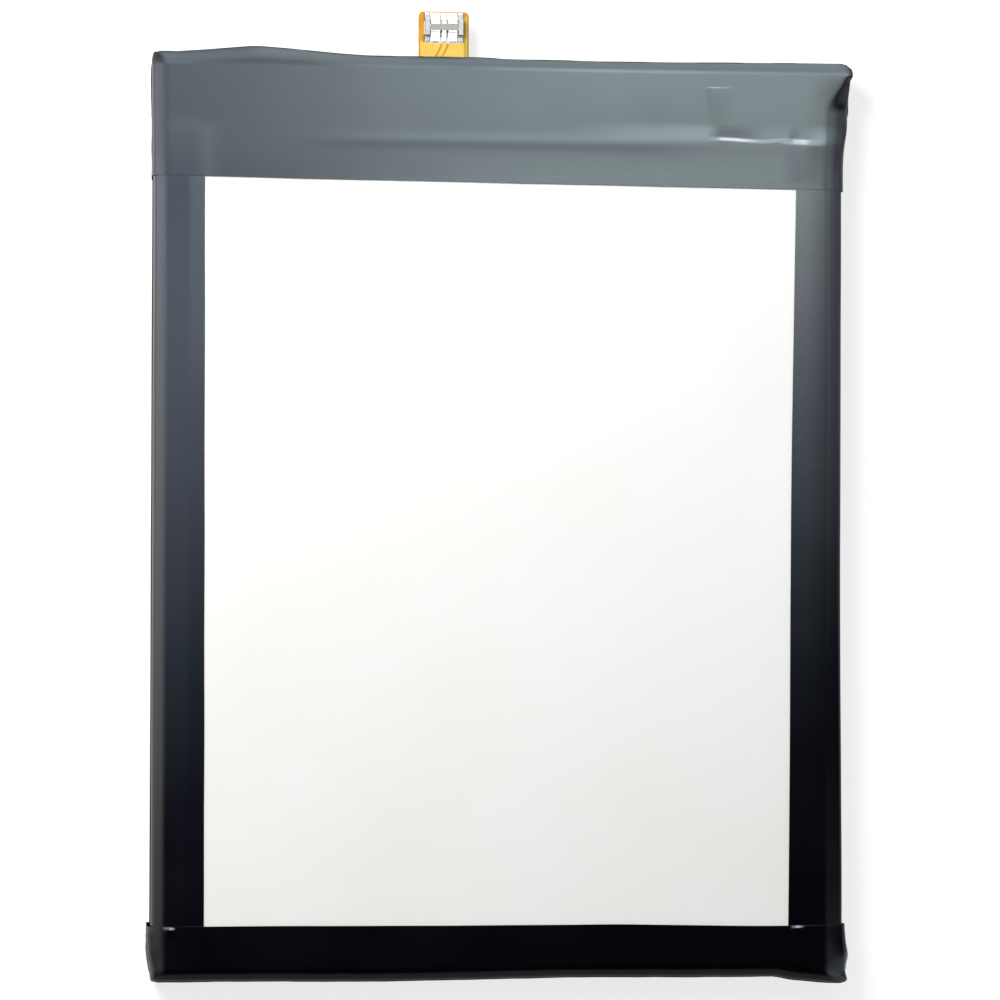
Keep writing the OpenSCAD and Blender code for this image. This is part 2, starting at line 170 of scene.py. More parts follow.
def soften_edges(obj, width, segments=2, angle=30):
    """Rounds the edges of a CAD node for the picture; its mesh stays as it is."""
    bevel = obj.modifiers.new("soft_edges", "BEVEL")
    bevel.width = width * MM
    bevel.segments = segments
    bevel.limit_method = "ANGLE"
    bevel.angle_limit = math.radians(angle)
    bevel.harden_normals = True


def reshape(obj, function):
    """Moves the points by function(points, normals), both in millimetres."""
    mesh = obj.data
    co = np.array([v.co for v in mesh.vertices], float) / MM
    normals = np.array([v.normal for v in mesh.vertices], float)
    moved = function(co, normals) * MM
    mesh.vertices.foreach_set("co", moved.ravel())
    mesh.update()


# ---------------------------------------------------------------- materials


class NodeMaterial:
    """A material with short calls to add its nodes and to join them."""

    def __init__(self, name):
        self.material = bpy.data.materials.new(name)
        self.material.use_nodes = True
        self.tree = self.material.node_tree

    def add(self, kind, **values):
        node = self.tree.nodes.new(kind)
        for key, value in values.items():
            setattr(node, key, value)
        return node

    def join(self, output, socket):
        self.tree.links.new(output, socket)

    def map_range(self, value, span, result, **values):
        """Maps a value from one span of numbers onto another."""
        node = self.add("ShaderNodeMapRange", **values)
        for key, number in zip(("From Min", "From Max", "To Min", "To Max"), (*span, *result)):
            node.inputs[key].default_value = number
        self.join(value, node.inputs["Value"])
        return node.outputs["Result"]

    def parts(self, vector):
        """The x, y and z of a vector, by name."""
        split = self.add("ShaderNodeSeparateXYZ")
        self.join(vector, split.inputs[0])
        return dict(zip("xyz", split.outputs))


class Shader(NodeMaterial):
    """A principled finish made of noise layers."""

    def __init__(self, name, color, roughness, metallic=0.0, **inputs):
        super().__init__(name)
        self.base = self.tree.nodes["Principled BSDF"]
        self.base.inputs["Base Color"].default_value = (*color, 1)
        self.base.inputs["Roughness"].default_value = roughness
        self.base.inputs["Metallic"].default_value = metallic
        for key, value in inputs.items():
            self.base.inputs[key.replace("_", " ")].default_value = value
        self.place = self.add("ShaderNodeTexCoord").outputs["Object"]

    def stretched(self, scale):
        """Object coordinates in millimetres, scaled per axis."""
        node = self.add("ShaderNodeMapping")
        node.inputs["Scale"].default_value = tuple(s / MM for s in scale)
        self.join(self.place, node.inputs["Vector"])
        return node.outputs["Vector"]

    def noise(self, size, detail=2.0, stretch=(1, 1, 1)):
        """Noise with features of the given size in millimetres."""
        node = self.add("ShaderNodeTexNoise")
        node.inputs["Scale"].default_value = 1 / size
        node.inputs["Detail"].default_value = detail
        self.join(self.stretched(stretch), node.inputs["Vector"])
        return node.outputs["Fac"]

    def spread(self, value, low, high, from_low=0.3, from_high=0.7):
        """Maps a value onto a range; the middle of a noise value, unless told otherwise."""
        return self.map_range(value, (from_low, from_high), (low, high))

    def plus(self, a, b):
        node = self.add("ShaderNodeMath", operation="ADD")
        self.join(a, node.inputs[0])
        self.join(b, node.inputs[1])
        return node.outputs[0]

    def tint(self, value, low, high):
        """Base colour that runs between two colours."""
        node = self.add("ShaderNodeMix", data_type="RGBA")
        node.inputs["A"].default_value = (*low, 1)
        node.inputs["B"].default_value = (*high, 1)
        self.join(value, node.inputs["Factor"])
        self.join(node.outputs["Result"], self.base.inputs["Base Color"])

    def roughen(self, value):
        self.join(value, self.base.inputs["Roughness"])

    def bump(self, *layers):
        """Bump from (value, height in millimetres) layers, one on top of another."""
        normal = None
        for value, height in layers:
            node = self.add("ShaderNodeBump")
            node.inputs["Strength"].default_value = 1.0
            node.inputs["Distance"].default_value = height * MM
            self.join(value, node.inputs["Height"])
            if normal is not None:
                self.join(normal, node.inputs["Normal"])
            normal = node.outputs["Normal"]
        self.join(normal, self.base.inputs["Normal"])


def film_material():
    """Black polyester film: very dark, satin gloss, a fine grain and faint handling marks."""
    s = Shader("black_film", (0.001, 0.001, 0.001), 0.1)
    grain = s.noise(0.16, 3)
    rough = s.spread(s.noise(9, 4), 0.09, 0.12)
    # duller where it is stretched: over the head end, and most of all on the roll there
    band = (LABEL_END - 4) * MM, LABEL_END * MM
    roll = (HEAD_HIGH[1] - 1.2) * MM, (HEAD_HIGH[1] - 0.8) * MM
    for more, (from_y, to_y) in ((0.08, band), (0.3, roll)):
        rough = s.plus(rough, s.spread(s.parts(s.place)["y"], 0.0, more, from_y, to_y))
    s.roughen(rough)
    s.tint(s.spread(grain, 0, 1), (0.0006, 0.0006, 0.0009), (0.0014, 0.0014, 0.0018))
    s.bump((s.noise(8, 2), 0.004), (grain, 0.0014), (s.noise(0.6, 2), 0.001))
    return s.material


def label_material():
    """White coated paper: bright, slightly warm in places, with a soft gloss."""
    s = Shader("white_label", (0.74, 0.73, 0.715), 0.34, Coat_Weight=0.35, Coat_Roughness=0.25)
    s.tint(s.spread(s.noise(16, 3), 0, 1), (0.68, 0.672, 0.652), (0.705, 0.7, 0.692))
    s.roughen(s.spread(s.noise(0.35, 3), 0.3, 0.4))
    s.bump((s.noise(0.25, 4), 0.0012), (s.noise(6, 2), 0.006))
    return s.material


def foil_material():
    """Aluminium laminate seen through its nylon skin, with fine rolling lines."""
    s = Shader("laminate_foil", (0.72, 0.73, 0.74), 0.34, 0.9)
    lines = s.noise(0.5, 3, (12, 0.6, 1))
    s.roughen(s.spread(lines, 0.26, 0.42))
    s.tint(s.spread(s.noise(9, 3), 0, 1), (0.66, 0.67, 0.69), (0.77, 0.78, 0.79))
    s.bump((lines, 0.0015), (s.noise(3, 3), 0.012))
    return s.material


def simple_material(name, color, roughness, metallic=0.0, grain=0.2, height=0.003, vary=0.15, **inputs):
    """A plain finish with fine grain in its colour, roughness and surface."""
    s = Shader(name, color, roughness, metallic, **inputs)
    value = s.noise(grain, 3)
    dark = tuple(c * (1 - vary) for c in color)
    light = tuple(min(1.0, c * (1 + vary)) for c in color)
    s.tint(s.spread(value, 0, 1), dark, light)
    s.roughen(s.spread(s.noise(grain * 3, 2), roughness * 0.85, min(1.0, roughness * 1.2)))
    s.bump((value, height))
    return s.material


def rolled_material(name, color, roughness, stretch):
    """Rolled or drawn metal with lines along one axis."""
    s = Shader(name, color, roughness, 1.0)
    lines = s.noise(0.12, 3, stretch)
    s.tint(s.spread(lines, 0, 1), tuple(c * 0.88 for c in color), color)
    s.roughen(s.spread(lines, roughness * 0.8, roughness * 1.3))
    s.bump((lines, 0.001))
    return s.material


def polyimide_material(name, color, deep):
    """Amber film over copper: glossy, a little uneven in depth of colour."""
    s = Shader(name, color, 0.5, Specular_IOR_Level=0.25)
    s.tint(s.spread(s.noise(1.1, 3), 0, 1), deep, color)
    s.roughen(s.spread(s.noise(0.3, 2), 0.42, 0.58))
    s.bump((s.noise(0.12, 3), 0.001), (s.noise(0.9, 2), 0.006))
    return s.material


FILM = film_material()
LABEL = label_material()
FOIL = foil_material()
FLEX = polyimide_material("flex_film", (0.52, 0.25, 0.03), (0.44, 0.18, 0.015))
FLEX_COPPER = polyimide_material("flex_copper_under_film", (0.62, 0.45, 0.11), (0.6, 0.4, 0.06))
FLEX_EDGE = polyimide_material("flex_ground_under_film", (0.42, 0.33, 0.06), (0.36, 0.27, 0.04))
# painted light: a pale flex colour that stands in for the washed-out brightness round the connector
FLEX_PAINTED_LIGHT = simple_material("flex_window_painted_light", (0.56, 0.5, 0.38), 0.5, 0.0, 0.3, 0.003, 0.05)
BARE_COPPER = simple_material("bare_pads_rim", (0.2, 0.13, 0.02), 0.5, 0.3, 0.15, 0.002)
TINNED = simple_material("tinned_contact", (0.75, 0.72, 0.72), 0.3, 0.6, 0.15, 0.003, 0.04)
SOLDER = simple_material("solder", (0.72, 0.7, 0.7), 0.35, 0.5, 0.2, 0.004, 0.05)
HOUSING = simple_material("connector_plastic", (0.27, 0.27, 0.24), 0.55, 0.0, 0.12, 0.003)
END_CAP = simple_material("connector_cap_metal", (0.34, 0.33, 0.31), 0.45, 0.3, 0.12, 0.003)
STIFFENER = simple_material("stiffener_laminate", (0.46, 0.3, 0.1), 0.45, 0.0, 0.2, 0.004)
LINER = simple_material("release_liner", (0.83, 0.8, 0.7), 0.5, 0.0, 0.4, 0.004, 0.04)

NODE_FINISH = {
    "pouch_cup": FOIL,
    "pouch_cover": FOIL,
    "tail_stiffener": STIFFENER,
    "connector_housing": HOUSING,
    "connector_end_caps": END_CAP,
    "power_contacts": TINNED,
    "signal_contacts": TINNED,
    "solder_pads": SOLDER,
    "flex_solder": SOLDER,
    "cathode_foil": simple_material("cathode_coating", (0.05, 0.05, 0.06), 0.8, 0, 0.1, 0.004),
    "anode_foil": simple_material("anode_coating", (0.07, 0.05, 0.04), 0.75, 0, 0.1, 0.004),
    "inner_separator": simple_material("separator_film", (0.9, 0.89, 0.85), 0.6, 0, 0.3, 0.002, 0.03),
    "winding_end_tape": simple_material("end_tape_film", (0.05, 0.33, 0.2), 0.3, 0, 0.3, 0.002),
    "cathode_tab": rolled_material("aluminium_tab", (0.85, 0.85, 0.86), 0.3, (10, 0.5, 1)),
    "anode_tab": rolled_material("nickel_tab", (0.68, 0.65, 0.58), 0.3, (10, 0.5, 1)),
    "cathode_seal_film": simple_material("seal_polymer", (0.86, 0.88, 0.82), 0.4, 0, 0.3, 0.002, 0.03),
    "terrace_tape": polyimide_material("polyimide_tape", (0.75, 0.36, 0.05), (0.6, 0.26, 0.03)),
    "circuit_board": simple_material("solder_mask", (0.015, 0.14, 0.05), 0.35, 0, 0.3, 0.003),
    "power_switches": simple_material("chip_epoxy", (0.02, 0.02, 0.022), 0.55, 0, 0.1, 0.004),
    "sense_resistor": simple_material("resistor_glaze", (0.03, 0.03, 0.035), 0.3, 0, 0.2, 0.002),
    "chip_capacitors": simple_material("capacitor_body", (0.4, 0.25, 0.13), 0.45, 0, 0.2, 0.002),
    "thermistor": simple_material("thermistor_body", (0.07, 0.11, 0.1), 0.45, 0, 0.2, 0.002),
    "head_foam": simple_material("foam", (0.04, 0.04, 0.045), 0.9, 0, 0.25, 0.05),
}
SAME_FINISH = {
    "outer_separator": "inner_separator",
    "anode_seal_film": "cathode_seal_film",
    "board_wrap": "terrace_tape",
    "cathode_weld_plate": "anode_tab",
    "anode_weld_plate": "anode_tab",
    "protection_chips": "power_switches",
    "chip_resistors": "sense_resistor",
}


def finish_cad_nodes():
    """Gives every CAD node its procedural finish; the ones not listed are paper or replaced."""
    for node, obj in frame["nodes"].items():
        finish = NODE_FINISH.get(SAME_FINISH.get(node, node), LINER)
        obj.data.materials.clear()
        obj.data.materials.append(finish)


# ---------------------------------------------------------------- film tapes


def side_profile(wall, low, top, r_low, r_top, steps):
    """One side of the section from the back face to the front face; wall is its signed x."""
    sign = math.copysign(1, wall)
    turn = np.radians(np.linspace(-90, 0, steps + 1))
    lower = np.c_[abs(wall) - r_low + r_low * np.cos(turn), low + r_low + r_low * np.sin(turn)]
    turn = np.radians(np.linspace(0, 90, 2 * steps + 1))
    upper = np.c_[abs(wall) - r_top + r_top * np.cos(turn), top - r_top + r_top * np.sin(turn)]
    flat = np.linspace(lower[-1], upper[0], 2 * steps + 1)[1:-1]
    return np.vstack([lower, flat, upper]) * (sign, 1)


def section(left, right, low, top, r_left, r_right, r_back, columns, steps):
    """Back, right, front and left runs round the pack, as (x, z) points.

    columns holds the places of the columns across the width, from 0 at the left to 1.
    """
    right_run = side_profile(right, low, top, r_back, r_right, steps)
    left_run = side_profile(left, low, top, r_back, r_left, steps)[::-1]
    back = left_run[-1] + columns[:, None] * (right_run[0] - left_run[-1])
    front = left_run[0] + columns[::-1, None] * (right_run[-1] - left_run[0])
    return back, right_run, front, left_run


def patch(back, right, front, left):
    """Fills a section smoothly: rows from the back run to the front run."""
    u = ((back[:, 0] - back[0, 0]) / (back[-1, 0] - back[0, 0]))[None, :, None]
    v = np.linspace(0, 1, len(right))[:, None, None]
    top = front[::-1]
    side = left[::-1]
    mix = (1 - v) * back[None] + v * top[None] + (1 - u) * side[:, None] + u * right[:, None]
    ends = ((1 - u) * (1 - v) * back[0] + u * (1 - v) * back[-1]
            + (1 - u) * v * top[0] + u * v * top[-1])
    return mix - ends


def spacing(low, high, step, fine_step, fine):
    """Places from low to high, closer together inside the fine ranges."""
    places = [low]
    while places[-1] < high - fine_step:
        near = any(a <= places[-1] <= b for a, b in fine)
        places.append(places[-1] + (fine_step if near else step))
    places[-1] = high
    return np.array(places)


def end_cap_film(name, low, high, towards, left_r, right_r, corner_r, fine_x, fine_y, steps=8):
    """A film cap over one end of the pack: open towards the middle, closed at the end.

    left_r and right_r give the front corner radius along the film; corner_r is the
    rounding of the left and right corners seen from the front. fine_x and fine_y are
    the ranges that hold small wrinkles.
    """
    end_y, open_y = (high[1], low[1]) if towards > 0 else (low[1], high[1])
    straight = abs(end_y - open_y) - END_R
    columns = (spacing(low[0], high[0], 0.42, 0.09, fine_x) - low[0]) / (high[0] - low[0])
    past_open = [sorted(abs(y - open_y) for y in pair) for pair in fine_y]
    stations = [(open_y + towards * d, 0.0) for d in spacing(0, straight, 0.22, 0.05, past_open)]
    stations += [(open_y + towards * (straight + END_R * math.sin(a)), 1 - math.cos(a))
                 for a in np.linspace(0, math.pi / 2, 11)[1:]]
    rings = []
    for y, turned in stations:
        shrink = 1 - 0.8 * turned
        rings.append((y, section(
            low[0] + corner_r[0] * turned, high[0] - corner_r[1] * turned,
            low[2] + END_BACK_R * turned, high[2] - END_R * turned,
            left_r(y) * shrink, right_r(y) * shrink, BACK_R * shrink, columns, steps)))
    points = []
    for y, runs in rings:
        xz = np.vstack([r[:-1] for r in runs])
        points.append(np.c_[xz[:, 0], np.full(len(xz), y), xz[:, 1]])
    around = len(points[0])
    faces = grid_faces(len(rings), around, 0, True)
    face_xz = patch(*rings[-1][1])
    rows, cols = face_xz.shape[:2]
    flat = face_xz.reshape(-1, 2)
    end = np.c_[flat[:, 0], np.full(len(flat), end_y), flat[:, 1]]
    faces += [f[::-1] for f in grid_faces(rows, cols, len(rings) * around)]
    if towards > 0:
        faces = [f[::-1] for f in faces]
    piece = mesh_piece(name, np.vstack(points + [end]), faces, FILM)
    merge_points(piece)
    return piece


def wrinkle(y, crest, slope, width, rise):
    """A small crease: a slow rise from the foot side, then a straight face turned to the head."""
    fall = np.clip((crest + width - y) / width, 0, 1)
    return slope * width * fall * smooth(crest - rise, crest, y)


def facing(normals, axis, sign=1):
    """How far each point faces along an axis, 0 to 1."""
    return smooth(0.35, 0.9, sign * normals[:, axis])


def tent(x, peak, left_w, right_w):
    """A soft-topped triangle of height 1 with its own width on each side."""
    off = np.sqrt((x - peak) ** 2 + 0.35) - 0.59
    return np.clip(1 - off / np.where(x < peak, left_w, right_w), 0, 1) ** 1.15


def rolled_right(x, y, z):
    """Lowers the front towards the right edge, where the film isn't pulled tight."""
    low = 0.115 * np.clip((x - 27.9) / 3.2, 0, 1.2) ** 2
    return low * smooth(3.2, 4.6, z)


def head_side_out(x, y, z):
    """How far the head film stands off the sides: a loose fold on the right, an ear at its end."""
    grow = smooth(31.0, 38.5, y)
    ear = smooth(40.1, 41.3, y)
    on_right = smooth(27.6, 31.3, x) * (0.3 + 0.7 * smooth(0.6, 3.9, z))
    right = on_right * (0.44 + 0.42 * grow + 0.3 * ear)
    crease_z = 4.1 - 2.4 * smooth(33.8, 41.5, y)
    crease = smooth(30.8, 31.4, x) * hump(z, crease_z, 0.4) * smooth(33.4, 35.5, y)
    on_left = smooth(-27.6, -31.3, x) * (0.5 + 0.5 * smooth(0.6, 3.9, z))
    left = on_left * (0.03 + 0.06 * smooth(33, 40.5, y))
    return right + 0.1 * crease, left


def head_shape(co, n):
    """Bulges, the ridge over the end of the cup, and the edges printed through from below."""
    x, y, z = co.T
    out = co.copy()
    front = facing(n, 2)
    back = facing(n, 2, -1)
    open_y, end_y = HEAD_LOW[1], HEAD_HIGH[1]
    beyond = smooth(LABEL_END + 0.9, LABEL_END + 2.7, y)
    window = smooth(LEFT_HIGH[0] - 0.9, LEFT_HIGH[0] + 1.2, x) * smooth(
        RIGHT_LOW[0] + 0.9, RIGHT_LOW[0] + 0.1, x)
    # where the film is pulled down sharply behind the cup, each steep place catches the lamp
    streak = smooth(18.9, 20.5, x) * (1 - 0.5 * smooth(21.6, 25.5, x)) * smooth(29.4, 27.8, x)
    dot = 0.88 * smooth(25.5, 27.4, x) * smooth(30.0, 27.9, x)
    pulled = np.maximum(streak, dot)
    crest = LABEL_END + 1.1 - 0.05 * (x - 22 - 5.6 * smooth(23.8, 26.4, x))
    steep = np.clip((y - crest) / (DROP / LAMP_SLOPE), 0, 1)
    fall = 0.25 + 0.75 * smooth(4, 18, x)
    drop = DROP * fall * (beyond + pulled * (steep - beyond))
    sag = 0.02 * window * (1 - beyond) + drop
    ridge = 0.012 * smooth(-22, -10, x) * (1 - 0.8 * smooth(12, 20, x)) * hump(
        y, LABEL_END + 0.8, 0.6)
    relief = 0.006 * waves(x, y, 17, 5) * smooth(open_y, open_y + 2.5, y)
    faint = smooth(18.8, 19.6, x) * np.clip((21.4 - x) / 1.8, 0, 1) * wrinkle(
        y, LABEL_END + 6.0, LAMP_SLOPE * 1.2, 0.08, 4.5)
    dot_rise = dot * wrinkle(y, crest - 0.2, LAMP_SLOPE, 0.2, 4.5)
    out[:, 2] += front * (relief + ridge + faint + dot_rise - sag)
    out[:, 2] -= rolled_right(x, y, z) * (1 - 0.9 * smooth(37.6, 40.8, y))
    out[:, 2] += back * 0.03 * smooth(0, 1, (y - open_y) / 3) * (1 + waves(x, y, 8, 8))
    # the end: one loose bulge on the left, a shallow dip to the right of the flex
    end = smooth(end_y - 2.2, end_y - 0.4, y)
    height = 0.35 + 0.65 * smooth(0.8, 4.0, z)
    off_flex = smooth(3.2, 5.4, np.abs(x - HINGE[0]))
    out[:, 1] += end * height * 0.6 * tent(x, -22.2, 6.6, 9.6)
    out[:, 1] += end * (0.08 * smooth(-14, -20, x) - 0.17 * hump(x, 10, 13) * off_flex)
    out[:, 1] -= end * 0.42 * smooth(31.6, 32.5, x + 0.9 * smooth(39, 41, y))
    out[:, 1] += end * 0.012 * waves(x, z * 1.5, 5, 11) * off_flex
    right, left = head_side_out(x, y, z)
    out[:, 0] += right - left
    wall = facing(n, 0) - facing(n, 0, -1)
    out[:, 0] += wall * 0.03 * waves(y, z * 1.4, 3.6, 13)
    # a slightly wavy cut edge
    edge = smooth(open_y + 0.4, open_y, y)
    out[:, 1] += edge * (0.015 * waves(x, z, 14, 17) - 0.0085 * x - 0.03)
    return out


def foot_shape(co, n):
    """The loose foot wrap: proud of the sides and pushed out at its right corner."""
    x, y, z = co.T
    out = co.copy()
    front = facing(n, 2)
    end_y, open_y = FOOT_LOW[1], FOOT_HIGH[1]
    window = smooth(LEFT_HIGH[0] - 0.9, LEFT_HIGH[0] + 1.2, x) * smooth(
        RIGHT_LOW[0] + 0.6, RIGHT_LOW[0] - 0.3, x)
    relief = 0.008 * waves(x * 0.7, y, 9, 23) * smooth(open_y, open_y - 1.2, y)
    dash = smooth(26.9, 27.05, x) * smooth(27.9, 27.75, x) * wrinkle(
        y, open_y - 0.2, FOOT_LAMP_SLOPE, 0.18, 0.5)
    dot_x = LEFT_LOW[0] + 1.6
    dot = smooth(dot_x - 0.36, dot_x - 0.2, x) * smooth(dot_x + 0.36, dot_x + 0.2, x) * wrinkle(
        y + 0.33 * (x - dot_x), open_y - 0.24, FOOT_LAMP_SLOPE, 0.22, 0.5)
    out[:, 2] += front * (relief - 0.05 * window + dash + dot)
    out[:, 2] -= rolled_right(x, y, z)
    loose_left = 0.24 - 0.3 * smooth(-38.6, -41.2, y)
    loose_right = 0.6 + 0.2 * smooth(-37.1, -40.2, y) - 0.12 * hump(y, -40.9, 0.4)
    loose_right += 0.16 * hump(y, -41.6, 0.35)
    upright = 0.75 + 0.25 * smooth(0.3, 3.5, z)
    out[:, 0] += smooth(29.9, 31.3, x) * loose_right * upright
    out[:, 0] -= smooth(-29.9, -31.3, x) * loose_left * upright
    wall = facing(n, 0) - facing(n, 0, -1)
    out[:, 0] += wall * 0.035 * waves(y * 1.2, z, 2.6, 29)
    end = smooth(end_y + 2.0, end_y + 0.3, y)
    push = 0.12 + 0.1 * hump(x, -11, 8) - 0.1 * hump(x, 8, 7)
    lean = 0.5 + 0.5 * smooth(0.8, 4.0, z)
    push += (0.33 * smooth(25.3, 27.6, x) + 0.3 * smooth(27.0, 31.0, x)) * lean
    out[:, 1] -= end * push
    out[:, 1] -= end * 0.02 * waves(x, z * 1.3, 4, 31)
    edge = smooth(open_y - 0.6, open_y, y)
    out[:, 1] += edge * 0.012 * waves(x, z, 13, 37)
    askew = 0.08 * smooth(0, -20, x) - 0.24 * smooth(10, 25, x)
    out[:, 1] += smooth(open_y - 2.2, open_y, y) * askew
    return out


def flex_slot(film):
    """Cuts the opening that the flex comes out of."""
    half_w = (TAIL_HIGH[0] - TAIL_LOW[0]) / 2 + 0.2
    half_h = (TAIL_HIGH[2] - TAIL_LOW[2]) / 2 + 0.14
    x, y, z = HINGE[0], HEAD_HIGH[1], HINGE[2]
    depth = 1.2
    points = [(x + a * half_w, y + b * depth, z + c * half_h)
              for a in (-1, 1) for b in (-1, 1) for c in (-1, 1)]
    faces = [(0, 1, 3, 2), (4, 6, 7, 5), (0, 4, 5, 1), (2, 3, 7, 6), (0, 2, 6, 4), (1, 5, 7, 3)]
    cutter = mesh_piece("slot_cutter", points, faces, FILM, True)
    cut = film.modifiers.new("slot", "BOOLEAN")
    cut.object = cutter
    cut.operation = "DIFFERENCE"
    apply_modifiers(film)
    bpy.data.objects.remove(cutter)


def side_film(name, low, high, side, steps=9):
    """A film strip folded round one long side, open on both faces."""
    wall = low[0] if side < 0 else high[0]
    run = side_profile(wall, low[2], high[2], BACK_R, FRONT_R, steps)
    inner = side * (low[0] if side > 0 else -high[0])
    count = 16
    y_all = np.linspace(low[1], high[1], 260)
    points = []
    for y in y_all:
        taper = (0.36 if side > 0 else 0.1) * y / high[1]
        bow = 0.17 * hump(y, 4, 22) if side > 0 else 0.0
        edge = inner + side * (taper - bow + 0.015 * waves(y, 0.0, 13, 41 + side))
        front = np.c_[np.linspace(run[-1, 0], edge, count + 1)[1:], np.full(count, high[2])]
        back = np.c_[np.linspace(inner, run[0, 0], count + 1)[:-1], np.full(count, low[2])]
        line = np.vstack([back, run, front])
        points.append(np.c_[line[:, 0], np.full(len(line), y), line[:, 1]])
    cols = len(points[0])
    faces = grid_faces(len(y_all), cols)
    if side > 0:
        faces = [f[::-1] for f in faces]
    piece = mesh_piece(name, np.vstack(points), faces, FILM)
    seal_top = 3.4

    def shape(co, n):
        x, y, z = co.T
        out = co.copy()
        wall = facing(n, 0, side)
        seal = smooth(seal_top + 0.3, seal_top - 0.3, z)
        if side > 0:
            away = 0.33 + 0.17 * smooth(-8, -37, y) + 0.04 * smooth(0, 30, y)
        else:
            away = 0.05 + 0.02 * smooth(-36, 36, y)
        away = away - 0.06 * (1 - seal) + 0.012 * waves(y, z * 2, 14, 43 + side)
        out[:, 0] += side * wall * away
        front = facing(n, 2)
        under_head = smooth(LABEL_END + 0.2, LABEL_END + 1.8, y)
        out[:, 2] += front * (0.004 * waves(x * 1.5, y * 0.5, 9, 47 + side) - 0.1 * under_head)
        out[:, 2] -= front * 0.018 * np.clip(x - inner - side * 1.5, 0, 2) * (side < 0)
        if side > 0:
            out[:, 2] -= rolled_right(x, y, z)
        return out

    reshape(piece, shape)
    give_thickness(piece, FILM_T)
    sharpen(piece)
    return piece


def fold_flap(name, side, end_y, length, low_z, top_z, shape, loose):
    """The triangle where an end wrap is folded down over a side, tucked under at the end."""
    along, across = 30, 16
    rows = []
    for i in range(along + 1):
        t = i / along
        y = end_y - math.copysign(1, end_y) * (0.45 + length * (1 - t) ** 0.9)
        half = (top_z - low_z) / 2 * t ** 0.85
        for v in np.linspace(-1, 1, across + 1):
            rows.append((y, (low_z + top_z) / 2 + half * v * 0.98 + 0.25 * (1 - t)))
    yz = np.array(rows)
    co = np.c_[np.full(len(yz), side * SIDE_X), yz]
    normals = np.zeros_like(co)
    normals[:, 0] = side
    placed = shape(co, normals)
    along_flap = np.clip(np.abs(yz[:, 0] - end_y) / length, 0, 1)
    tucked = smooth(0.24, 0.1, along_flap)
    lift = 4 * loose * along_flap * (1 - along_flap) - 0.2 * tucked
    placed[:, 0] += side * lift
    placed[:, 1] = yz[:, 0]
    faces = grid_faces(along + 1, across + 1)
    if side * math.copysign(1, end_y) > 0:
        faces = [f[::-1] for f in faces]
    piece = mesh_piece(name, placed, faces, FILM)
    give_thickness(piece, FILM_T, 0.0)
    sharpen(piece)
    return piece


def film_tapes():
    """All the black film, in the order it was wrapped."""
    pieces = [(side_film("left_film", LEFT_LOW, LEFT_HIGH, -1), "left_tape"),
              (side_film("right_film", RIGHT_LOW, RIGHT_HIGH, 1), "right_tape")]

    def head_right_r(y):
        return 1.9 - 1.45 * float(smooth(37.2, 41.0, y))

    head = end_cap_film("head_film", HEAD_LOW, HEAD_HIGH, 1,
                        lambda y: FRONT_R, head_right_r, (0.22, 0.12),
                        [(18.5, 29)], [(LABEL_END + 0.6, LABEL_END + 1.9),
                                       (LABEL_END + 5.8, LABEL_END + 6.4)])
    reshape(head, head_shape)
    give_thickness(head, FILM_T)
    flex_slot(head)
    sharpen(head)
    foot = end_cap_film("foot_film", FOOT_LOW, FOOT_HIGH, -1,
                        lambda y: FRONT_R + 0.2, lambda y: FRONT_R + 0.2, (0.2, 0.3),
                        [(-30.8, -28.8), (26.6, 28.8)], [(FOOT_HIGH[1] - 0.6, FOOT_HIGH[1])])
    reshape(foot, foot_shape)
    give_thickness(foot, FILM_T)
    sharpen(foot)
    pieces += [(head, "head_tape"), (foot, "foot_tape")]
    fold_low, fold_top = 0.6, 3.7
    for name, side, end_y, length, shape, loose in (
            ("head_fold_left", -1, HEAD_HIGH[1], 5.2, head_shape, 0.02),
            ("head_fold_right", 1, HEAD_HIGH[1], 6.8, head_shape, 0.1),
            ("foot_fold_left", -1, FOOT_LOW[1], 3.6, foot_shape, 0.05),
            ("foot_fold_right", 1, FOOT_LOW[1], 3.8, foot_shape, 0.1)):
        flap = fold_flap(name, side, end_y, length, fold_low, fold_top, shape, loose)
        pieces.append((flap, "head_tape" if end_y > 0 else "foot_tape"))
    for piece, node in pieces:
        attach(piece, "pack")
        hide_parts(node)


# ---------------------------------------------------------------- label


def label_sheet():
    """The blank label: a thin sheet that follows the slightly uneven cell under it."""
    cols, rows = 150, 180
    x = np.linspace(LABEL_LOW[0], LABEL_HIGH[0], cols)
    y = np.linspace(LABEL_LOW[1], LABEL_HIGH[1], rows)
    gx, gy = np.meshgrid(x, y)
    z = LABEL_HIGH[2] - 0.004 + 0.004 * waves(gx, gy, 22, 51)
    points = np.c_[gx.ravel(), gy.ravel(), z.ravel()]
    piece = mesh_piece("label_sheet", points, grid_faces(rows, cols), LABEL)
    give_thickness(piece, LABEL_T)
    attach(piece, "pack")
    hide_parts("label")


# ---------------------------------------------------------------- flex tail


def flex_outline(y, inset=0.0):
    """Half width of the flex at a place along it, with round outer corners."""
    half_w = (TAIL_HIGH[0] - TAIL_LOW[0]) / 2 - inset
    radius = FLEX_CORNER_R - inset * 0.5
    past = y - (TAIL_HIGH[1] - inset - radius)
    if past <= 0:
        return half_w
    return half_w - radius + math.sqrt(max(radius ** 2 - past ** 2, 0.0))


